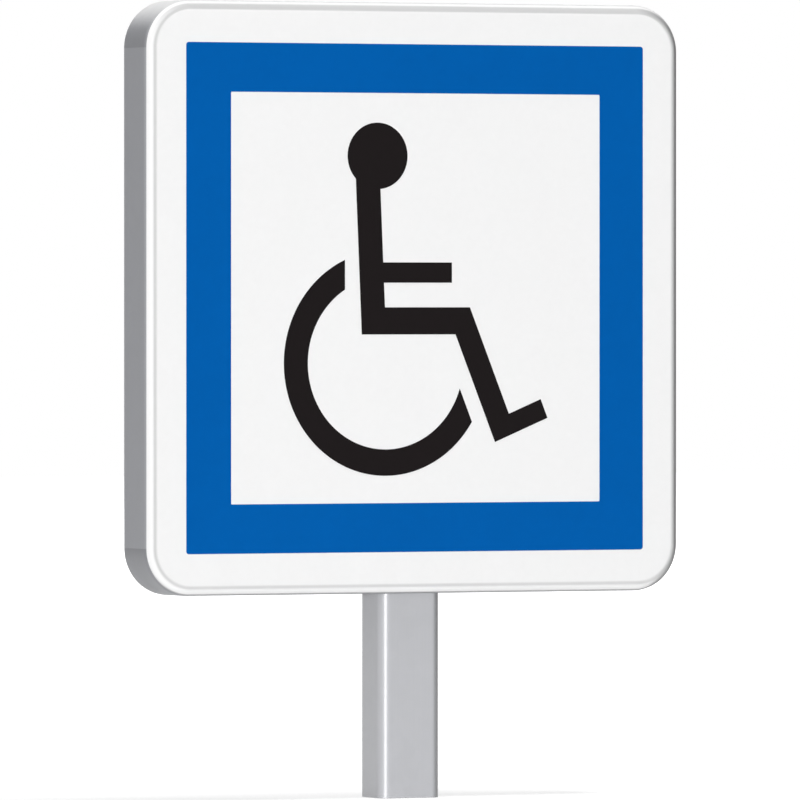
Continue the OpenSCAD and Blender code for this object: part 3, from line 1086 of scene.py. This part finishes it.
@dataclass
class Panel(SubAssembly):
    """Pressed tray with its white sheeting and cut films. Sizes in mm, places on the fold in degrees."""

    size: float = 500.0
    depth: float = 50.0
    corner: float = 40.0
    corner_steps: int = 24
    corner_hold: float = 1.5
    fold: float = 9.0
    fold_steps: int = 14
    sheet: float = 2.0
    lip: float = 12.0
    lip_bend: float = 3.0
    lip_edge: float = 0.7
    inset: float = 28.0
    face_y: float = -32.0
    sheeting: float = 0.4
    sheeting_end: float = 61.0
    glue: float = 0.02
    crease_at: float = 13.7
    crease_half: float = 13.0
    crease_depth: float = 0.22
    crease_steps: int = 16
    crease_lead: float = 1.2
    notch_gap: float = 1.0
    overshoot: float = 1.0
    # Painted shade and painted light on the fold
    grime: FoldLightAndShade = FoldLightAndShade()

    def place(self) -> Matrix:
        """Turns the panel's own frame, X right and Y up with Z out of the face, into the row frame."""
        turned = Matrix.Rotation(math.pi / 2, 4, "X")
        return Matrix.Translation(Vector((0, self.face_y, PANEL_MIDDLE)) * MM) @ turned

    def carry(self, name: str, section: Outline) -> Piece:
        """Carries a section round the panel's outer edge."""
        ends = middled(self.size)
        path = rectangle(ends, ends, self.corner, self.corner_steps, self.corner_hold)
        return self.sweeps.sweep(name, section, path, self.place())

    def tray(self) -> Piece:
        """Makes the pressed sheet and cuts the notch for the post."""
        t, d = self.sheet, self.depth
        made = self.carry("pressed_tray", Outline((
            Corner(-self.inset, 0), Corner(0, 0, self.fold, self.fold_steps),
            Corner(0, -d, self.lip_bend, steps=8), Corner(-self.lip, -d, self.lip_edge, steps=4),
            Corner(-self.lip, t - d, self.lip_edge, steps=4),
            Corner(-t, t - d, self.lip_bend - t, steps=5),
            Corner(-t, -t, self.fold - t, steps=10), Corner(-self.inset, -t),
        ), closed=False))
        gap, bottom = self.notch_gap, PANEL_MIDDLE - self.size / 2
        low, high = bottom - self.overshoot, bottom + self.lip + self.overshoot
        width = middled(POST_WIDTH + 2 * gap)
        front = rectangle(width, middled(POST_DEPTH + 2 * gap), POST_CORNER + gap, steps=10,
                          hold=self.corner_hold)
        back = rectangle(width, (0, d))
        cut_away(made, [prism("notch", part.points(), low, high) for part in (front, back)])
        return made

    def skin(self) -> Piece:
        """Makes the white sheeting, with the shallow crease where the fold begins."""
        angles = spaced(0.0, 2 * self.crease_half, self.crease_steps)
        angles += spaced(angles[-1], self.sheeting_end, self.fold_steps)[1:]
        points = [Corner(-self.inset, self.sheeting), Corner(-self.fold - self.crease_lead, self.sheeting)]
        for angle in angles:
            crease = self.crease_depth * bulge(angle, self.crease_at, self.crease_half)
            points.append(self.on_fold(self.sheeting - crease, angle))
        for angle in spaced(self.sheeting_end, 0.0, self.fold_steps):
            points.append(self.on_fold(self.glue, angle))
        points.append(Corner(-self.inset, self.glue))
        made = self.carry("sheeting_skin", Outline(tuple(points), closed=False))
        self.mark_fold_light_and_shade(made)
        return made

    def on_fold(self, above: float, angle: float) -> Corner:
        """Point of the fold's section this far above the tray, at an angle from the face's normal."""
        turn, radius = math.radians(angle), self.fold + above
        return Corner(radius * math.sin(turn) - self.fold, radius * math.cos(turn) - self.fold)

    def mark_fold_light_and_shade(self, skin: Piece) -> None:
        """Stores the painted shade and painted light on each point of the sheeting, for its colour."""
        marks = skin.data.attributes.new(FOLD_LIGHT_AND_SHADE, "FLOAT", "POINT")
        flat = self.size / 2 - self.corner
        for vertex, mark in zip(skin.data.vertices, marks.data):
            x, z = vertex.co.x / MM, vertex.co.z / MM - PANEL_MIDDLE
            over_x, over_z = max(abs(x) - flat, 0.0), max(abs(z) - flat, 0.0)
            reach = math.hypot(over_x, over_z)
            out = reach - (self.corner - self.fold)
            if out <= 0:
                continue
            angle = math.degrees(math.atan2(out, self.face_y - vertex.co.y / MM + self.fold))
            right, up = math.copysign(over_x, x) / reach, math.copysign(over_z, z) / reach
            mark.value = self.grime.share(angle, right, up)

    def build(self) -> None:
        """Builds the tray and its skin, and dresses them and the films."""
        self.wardrobe.dress_piece(self.tray(), Slot.COATING, ["panel_tray"])
        self.wardrobe.dress_piece(self.skin(), Slot.SHEETING, ["white_sheeting"])
        self.wardrobe.dress_node("blue_border", Slot.BLUE_FILM)
        self.wardrobe.dress_node("figure_symbol", Slot.BLACK_FILM)
        self.wardrobe.dress_node("wheel_symbol", Slot.BLACK_FILM)


@dataclass
class Post(SubAssembly):
    """Rectangular tube with its seam inside and its cap. Sizes in mm."""

    wall: float = 2.5
    length: float = 638.5
    cut_edge: float = 0.35
    corner_steps: int = 16
    corner_hold: float = 0.6
    seam_w: float = 3.0
    seam_h: float = 0.7
    seam_root: float = 0.2
    seam_steps: int = 10
    seam_end: float = 1.0
    skirt: float = 22.0

    def tube(self) -> Piece:
        """Sweeps the wall's upright section round the tube."""
        section = rectangle((-self.wall, 0), (0, self.length), self.cut_edge)
        path = rectangle(middled(POST_WIDTH), middled(POST_DEPTH), POST_CORNER, self.corner_steps,
                         self.corner_hold)
        return self.sweeps.sweep("post_tube", section, path, Matrix.Identity(4))

    def seam(self) -> Piece:
        """Makes the bead of the tube's seam weld, down the inside of its back wall."""
        back = POST_DEPTH / 2 - self.wall
        half = self.seam_w / 2
        arch = [(half * math.cos(turn), back - self.seam_h * math.sin(turn))
                for turn in spaced(0.0, math.pi, self.seam_steps)]
        arch += [(-half, back + self.seam_root), (half, back + self.seam_root)]
        return prism("post_seam", arch, self.seam_end, self.length - self.skirt - self.seam_end)

    def build(self) -> None:
        """Builds the tube and its seam, and dresses them and the cap."""
        self.wardrobe.dress_piece(self.tube(), Slot.TUBE, ["post"])
        self.wardrobe.dress_piece(self.seam(), Slot.TUBE)
        self.wardrobe.dress_node("post_cap", Slot.PLASTIC)


@dataclass
class Rail(SubAssembly):
    """Slotted rail across the back of the panel, with its spot welds. Sizes in mm."""

    level: Level
    length: float = 470.0
    flange: float = 20.0
    flange_edge: float = 0.6
    wall: float = 1.5
    height: float = 7.5
    bend: float = 0.5
    channel: float = 7.0
    channel_bend: float = 0.35
    slot: float = 4.25
    slot_edge: float = 0.25
    front_y: float = -30.0
    weld_pitch: float = 38.0
    weld_count: int = 12
    weld_row: float = 14.5
    weld_mark: tuple[Point, ...] = (
        (3.4, -0.05), (3.3, 0.03), (3.0, 0.15), (2.6, 0.2), (2.2, 0.15), (1.6, 0.06), (0.4, 0.04))
    weld_steps: int = 24
    edge_hold: float = 0.15
    seed: int = 3

    def bar(self) -> Piece:
        """Sweeps the rail's section along its length."""
        f, t, h, c, s = self.flange, self.wall, self.height, self.channel, self.slot
        half = [(f, 0, self.flange_edge), (f, t, self.flange_edge), (c + t, t, self.bend),
                (c + t, h, self.bend), (s, h, self.slot_edge), (s, h - t, self.slot_edge),
                (c, h - t, self.channel_bend), (c, t, self.channel_bend)]
        right = [Corner(x, y, radius, steps=4) for x, y, radius in half]
        path = Outline(tuple(Corner(x, 0) for x in middled(self.length)), closed=False)
        # Along +X the section's X points to -Y and its Y up: a quarter turn about X lays it on the panel
        turned = Matrix.Rotation(-math.pi / 2, 4, "X")
        place = Matrix.Translation(Vector((0, self.front_y, self.level.z())) * MM) @ turned
        section = Outline(tuple(right + mirrored(right)), hold=self.edge_hold)
        return self.sweeps.sweep(self.level.named("rail_bar"), section, path, place)

    def welds(self) -> Piece:
        """Sets spot welds along both flanges."""
        copy = lathe("weld_mark", self.weld_mark, self.weld_steps)
        size = (self.weld_pitch * (self.weld_count - 1), 2 * self.weld_row)
        middle = (self.front_y + self.wall, self.level.z())
        return self.scatter.set_out(self.level.named("rail_welds"), copy, size, (self.weld_count, 2), middle,
                                    ANY_TURN, self.seed)

    def build(self) -> None:
        """Builds and dresses the rail and its welds."""
        self.wardrobe.dress_piece(self.bar(), Slot.ALLOY, [self.level.named("rail")])
        self.wardrobe.dress_piece(self.welds(), Slot.ALLOY)


@dataclass
class Clamp(SubAssembly):
    """Bent strap round the post, with an ear on each side. Sizes in mm."""

    level: Level
    width: float = 30.0
    sheet: float = 3.0
    bend: float = 3.0
    ear_end: float = 60.5
    ear_r: float = 5.0
    ear_steps: int = 6
    hole_x: float = 46.5
    hole_r: float = 4.5
    hole_steps: int = 40
    edge: float = 0.5
    edge_hold: float = 0.2

    def path(self) -> Outline:
        """Draws the middle line of the strap seen from above, from the left ear to the right one."""
        t = self.sheet / 2
        ear = t - POST_DEPTH / 2
        half = [Corner(POST_WIDTH / 2 + t, POST_DEPTH / 2 + t, POST_CORNER + t, steps=12),
                Corner(POST_WIDTH / 2 + t, ear, self.bend + t, steps=8)]
        half += [Corner(self.ear_end - self.ear_r * (1 - math.cos(turn)), ear)
                 for turn in spaced(math.pi / 2, 0.0, self.ear_steps)]
        return Outline(tuple(mirrored(half) + half), closed=False)

    def strap(self) -> Piece:
        """Sweeps the strap, rounds its ears and drills their holes."""
        z, w = self.level.z(), self.width / 2
        section = rectangle(middled(self.sheet), middled(self.width), self.edge, hold=self.edge_hold)
        made = self.sweeps.sweep(self.level.named("strap"), section, self.path(),
                                 Matrix.Translation((0, 0, z * MM)))
        for vertex in made.data.vertices:
            past = abs(vertex.co.x) / MM - (self.ear_end - self.ear_r)
            if past > 0:
                reach = w - self.ear_r + math.sqrt(max(self.ear_r ** 2 - past ** 2, 0))
                vertex.co.z = z * MM + (vertex.co.z - z * MM) * reach / w
        drills = []
        for side in (-1, 1):
            drill = lathe("drill", [(self.hole_r, 0.0), (self.hole_r, POST_DEPTH)], self.hole_steps)
            laid = Matrix.Rotation(math.pi / 2, 4, "X")
            drill.data.transform(Matrix.Translation(Vector((side * self.hole_x, 0, z)) * MM) @ laid)
            drills.append(drill)
        cut_away(made, drills)
        return made

    def build(self) -> None:
        """Builds and dresses the strap."""
        self.wardrobe.dress_piece(self.strap(), Slot.PLATING, [self.level.named("clamp")])


@dataclass
class Fasteners(SubAssembly):
    """Bolts, washers and nuts of both clamps. Heights are from the ears' front face, in mm."""

    flats: float = 13.0
    cone: float = 0.96
    cone_slope: float = 0.5
    head_low: float = -5.5
    head_high: float = -1.5
    head_edge: float = 0.15
    tip: float = 14.0
    major: float = 4.0
    minor: float = 3.3
    pitch: float = 1.25
    crest_slope: float = 1.25
    root_width: float = 0.06
    run_out: float = 0.25
    thread_from: float = 1.0
    washer_low: float = 3.0
    nut_low: float = 4.6
    nut_high: float = 11.4
    bore: float = 4.05
    sink: float = 0.45
    washer_bore: float = 4.2
    washer_r: float = 8.0
    washer_edge: float = 0.1
    washer_round: float = 0.5
    span: float = 93.0
    nut_turn: float = 1.0
    seed: int = 11
    turn: int = 60
    steps_per_pitch: int = 8

    def ring(self, radius: Profile, height: Profile) -> list[Vector]:
        """Goes once round the axis of a fastener."""
        return ring(radius, height, self.turn)

    def hexagon(self, angle: float) -> float:
        """Distance of a hexagon's side from its axis, with a corner at angle 0."""
        off = angle % (math.pi / 3) - math.pi / 6
        return self.flats / 2 / math.cos(off)

    def hex_end(self, end: float, inwards: float) -> list[list[Vector]]:
        """Turned end of a hexagon.

        Args:
            end: Height of the end face.
            inwards: 1 where the hexagon goes up from it, and -1 where it goes down.

        Returns:
            Two rings: the end face's edge, and the hexagon's edge below the turned cone.
        """
        flat = self.flats / 2 * self.cone
        return [self.ring(flat, end),
                self.ring(self.hexagon, lambda a: end + inwards * (self.hexagon(a) - flat) * self.cone_slope)]

    def thread(self, angle: float, height: float) -> float:
        """Radius of the thread at an angle and height, with its run-out at both ends."""
        phase = (height / self.pitch - angle / (2 * math.pi)) % 1.0
        crest = min(max(self.crest_slope * (1 - abs(2 * phase - 1)) - self.root_width, 0.0), 1.0)
        radius = self.minor + (self.major - self.minor) * crest
        return min(radius, self.minor - self.run_out + (self.tip - height))

    def bolt(self) -> Piece:
        """Makes one bolt with a real thread."""
        low, high, edge = self.head_low, self.head_high, self.head_edge
        rings = [*self.hex_end(low, 1.0), self.ring(self.hexagon, high - edge),
                 self.ring(lambda a: self.hexagon(a) - edge, high), self.ring(self.major, high)]
        count = round((self.tip - self.thread_from) / self.pitch * self.steps_per_pitch)
        heights = spaced(self.thread_from, self.tip, count)
        rings.append(self.ring(self.major, heights[0]))
        for z in heights[1:]:
            rings.append(self.ring(lambda a: self.thread(a, z), z))
        return mesh_from_rings("bolt", rings)

    def nut(self) -> Piece:
        """Makes one nut with both ends turned and its bore countersunk."""
        low, high, bore, sink = self.nut_low, self.nut_high, self.bore, self.sink
        rings = [self.ring(bore, low + sink), self.ring(bore + sink, low), *self.hex_end(low, 1.0),
                 *reversed(self.hex_end(high, -1.0)), self.ring(bore + sink, high),
                 self.ring(bore, high - sink)]
        return mesh_from_rings("nut", rings, joined=True)

    def washer(self) -> Piece:
        """Makes one washer, rounded on the side that was stamped first."""
        low, high, sharp = self.washer_low, self.nut_low, self.washer_edge
        section = Outline((
            Corner(self.washer_bore, low, sharp, steps=2), Corner(self.washer_r, low, sharp, steps=2),
            Corner(self.washer_r, high, self.washer_round, steps=4),
            Corner(self.washer_bore, high, 2 * sharp, steps=3),
        ), hold=sharp)
        return lathe("washer", section.points(), self.turn, joined=True)

    def build(self) -> None:
        """Sets a bolt, a washer and a nut on each of the four axes, and dresses them."""
        size, middle = (self.span, 2 * LEVEL_RISE), (-POST_DEPTH / 2, PANEL_MIDDLE)
        for kind, copy, spin in (("bolt", self.bolt(), 0.0), ("washer", self.washer(), ANY_TURN),
                                 ("nut", self.nut(), self.nut_turn)):
            made = self.scatter.set_out(f"clamp_{kind}s", copy, size, (2, 2), middle, spin, self.seed)
            nodes = [level.named(f"{side}_{kind}") for level in Level for side in ("left", "right")]
            self.wardrobe.dress_piece(made, Slot.PLATING, nodes)


# Studio


@dataclass(frozen=True)
class SoftBox:
    """Lamp so many degrees to the left of the face's normal and above the horizon. Sizes in metres."""

    name: str
    left: float
    up: float
    width: float
    height: float
    level: float
    in_reflections: bool = False
    distance: float = 14.0


@dataclass(frozen=True)
class Flag:
    """Card that shows in reflections alone. Its tone is how light it is, its sizes are in metres."""

    name: str
    left: float
    width: float
    height: float
    tone: float
    distance: float = 5.0


def direction(left: float, up: float = 0.0) -> Vector:
    """Points the given degrees to the left of the face's normal and above the horizon."""
    left, up = math.radians(left), math.radians(up)
    return Vector((-math.sin(left) * math.cos(up), -math.cos(left) * math.cos(up), math.sin(up)))


@dataclass
class Studio:
    """Plain pale floor, white surroundings and soft lamps. Sizes in metres."""

    target: tuple[float, float, float] = (0.0, -0.03, 0.42)
    boxes: tuple[SoftBox, ...] = (
        SoftBox("key_box", left=36.5, up=1.0, width=5.0, height=1.8, level=0.375, in_reflections=True),
        SoftBox("front_box", left=30.0, up=2.0, width=4.0, height=1.6, level=0.335),
        SoftBox("top_box", left=-60.0, up=74.0, width=4.0, height=4.0, level=0.50),
        SoftBox("back_box", left=180.0, up=14.0, width=5.0, height=3.0, level=0.42),
    )
    flags: tuple[Flag, ...] = (
        Flag("dark_flag", left=-105.0, width=10.0, height=4.0, tone=0.03),
        Flag("grey_flag", left=154.0, width=5.0, height=2.6, tone=0.15),
    )
    ambient: float = 0.17
    ambient_lean: float = 0.26
    bright_side: tuple[float, float, float] = (-0.74, -0.66, 0.10)
    floor_size: float = 32.0
    floor_z: float = -0.0002
    floor_colour: Colour = (0.68, 0.68, 0.68)
    floor_glow: Point = (0.62, 0.90)
    floor_glow_reach: Point = (1.5, 9.0)

    def lamp(self, box: SoftBox) -> None:
        """Hangs one soft box. Its power is the level times pi squared times the distance squared."""
        way = direction(box.left, box.up)
        data = bpy.data.lights.new(box.name, "AREA")
        data.shape = "RECTANGLE"
        data.size, data.size_y = box.width, box.height
        data.energy = box.level * (math.pi * box.distance) ** 2
        made = new_object(box.name, data)
        made.location = Vector(self.target) + way * box.distance
        made.rotation_euler = (-way).to_track_quat("-Z", "Y").to_euler()
        made.visible_camera = False
        made.visible_glossy = box.in_reflections

    @staticmethod
    def card(name: str, corners: Sequence[Vector]) -> tuple[Piece, Web]:
        """Adds one flat sheet to the stage.

        Args:
            name: Its name and its material's.
            corners: Its four corners.

        Returns:
            The sheet and its material's empty tree.
        """
        mesh = bpy.data.meshes.new(name)
        mesh.from_pydata(corners, [], [(0, 1, 2, 3)])
        made = new_object(name, mesh)
        material = bpy.data.materials.new(name)
        mesh.materials.append(material)
        made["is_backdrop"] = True
        return made, Web(own_tree(material))

    def flag(self, flag: Flag) -> None:
        """Stands one card behind the sign. It shows in reflections alone and draws the edges."""
        way = direction(flag.left)
        along = Vector((-way.y, way.x, 0.0)) * flag.width / 2
        left, right = way * flag.distance - along, way * flag.distance + along
        high = Vector((0, 0, flag.height))
        made, web = self.card(flag.name, [left, right, right + high, left + high])
        cloth = web.node("ShaderNodeBsdfDiffuse", {"Color": rgba((flag.tone, flag.tone, flag.tone))})
        web.node("ShaderNodeOutputMaterial", {"Surface": cloth})
        for rays in ("camera", "diffuse", "shadow", "transmission"):
            setattr(made, f"visible_{rays}", False)

    @staticmethod
    def seen_directly(web: Web) -> Node:
        """Gives 1 where a surface is seen by the camera, in a reflection or through glass."""
        path = web.node("ShaderNodeLightPath").outputs
        return web.math("MAXIMUM", path["Is Camera Ray"],
                        web.math("MAXIMUM", path["Is Glossy Ray"], path["Is Transmission Ray"]))

    def surroundings(self) -> None:
        """Makes the world: white where it is seen, and a soft light that leans to one side elsewhere."""
        world = bpy.data.worlds.new("studio")
        bpy.context.scene.world = world
        web = Web(own_tree(world))
        side = web.vector_math("DOT_PRODUCT", web.coordinate("Generated"), self.bright_side).outputs["Value"]
        leaning = web.math("ADD", web.math("MULTIPLY", side, self.ambient_lean), self.ambient)
        soft = web.math("MAXIMUM", leaning, 0.0)
        seen = self.seen_directly(web)
        strength = web.math("ADD", web.math("MULTIPLY", web.math("SUBTRACT", 1.0, seen), soft), seen)
        light = web.node("ShaderNodeBackground", {"Color": WHITE, "Strength": strength})
        web.node("ShaderNodeOutputWorld", {"Surface": light})

    def floor(self) -> None:
        """Lays the floor, which glows up to white round the shadow. Seen from below it is clear."""
        half = self.floor_size / 2
        corners = [(-half, -half), (half, -half), (half, half), (-half, half)]
        _, web = self.card("studio_floor", [Vector((x, y, self.floor_z)) for x, y in corners])
        away = web.node("ShaderNodeVectorMath", {"Vector": web.coordinate("Object")}, operation="LENGTH")
        lift = web.remap(away.outputs["Value"], *self.floor_glow_reach, *self.floor_glow)
        strength = web.math("MULTIPLY", self.seen_directly(web), lift)
        glow = web.node("ShaderNodeEmission", {"Color": WHITE, "Strength": strength})
        cloth = web.node("ShaderNodeBsdfDiffuse", {"Color": rgba(self.floor_colour)})
        both = web.node("ShaderNodeAddShader", {0: cloth, 1: glow})
        below = web.node("ShaderNodeNewGeometry").outputs["Backfacing"]
        sided = web.node("ShaderNodeMixShader", {0: below, 1: both, 2: web.node("ShaderNodeBsdfTransparent")})
        web.node("ShaderNodeOutputMaterial", {"Surface": sided})

    def build(self) -> None:
        """Sets up the whole studio."""
        bpy.context.scene.view_settings.view_transform = "Standard"
        self.surroundings()
        self.floor()
        for flag in self.flags:
            self.flag(flag)
        for box in self.boxes:
            self.lamp(box)
        LOG.info("studio: floor, surroundings and %d soft boxes", len(self.boxes))


@dataclass
class PhotoCamera:
    """Camera at the photograph's viewing angle. Place in metres, turns in degrees, lens and sensor in mm."""

    place: tuple[float, float, float] = (-4.23396, -8.74113, 0.4235)
    tilt: float = 89.4899
    pan: float = -25.8443
    lens: float = 515.0
    sensor: float = 36.0
    sight: float = 200.0

    def build(self) -> None:
        """Makes the camera and gives it to the scene."""
        data = bpy.data.cameras.new("photo_camera")
        data.lens = self.lens
        data.sensor_width = self.sensor
        data.dof.use_dof = False
        data.clip_end = self.sight
        made = new_object("photo_camera", data)
        made.location = self.place
        made.rotation_euler = (math.radians(self.tilt), 0.0, math.radians(self.pan))
        bpy.context.scene.camera = made
        LOG.info("camera: %.1f mm lens, %.2f m away", self.lens, Vector(self.place).length)


def write_sizes() -> None:
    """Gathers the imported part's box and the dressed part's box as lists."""
    as_lists = {name: [[float(value) for value in corner] for corner in bounds]
                for name, bounds in (("cad", cad_bounds), ("visual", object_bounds()))}


def main() -> None:
    """Builds the sub-assemblies in order, then the studio and the camera."""
    logging.basicConfig(level=logging.INFO, format="%(message)s")
    tools = (Wardrobe(), SweepTool(), ScatterTool())
    Panel(*tools).build()
    Post(*tools).build()
    for level in Level:
        Rail(*tools, level).build()
        Clamp(*tools, level).build()
    Fasteners(*tools).build()
    Studio().build()
    PhotoCamera().build()
    write_sizes()


if __name__ == "__main__":
    main()
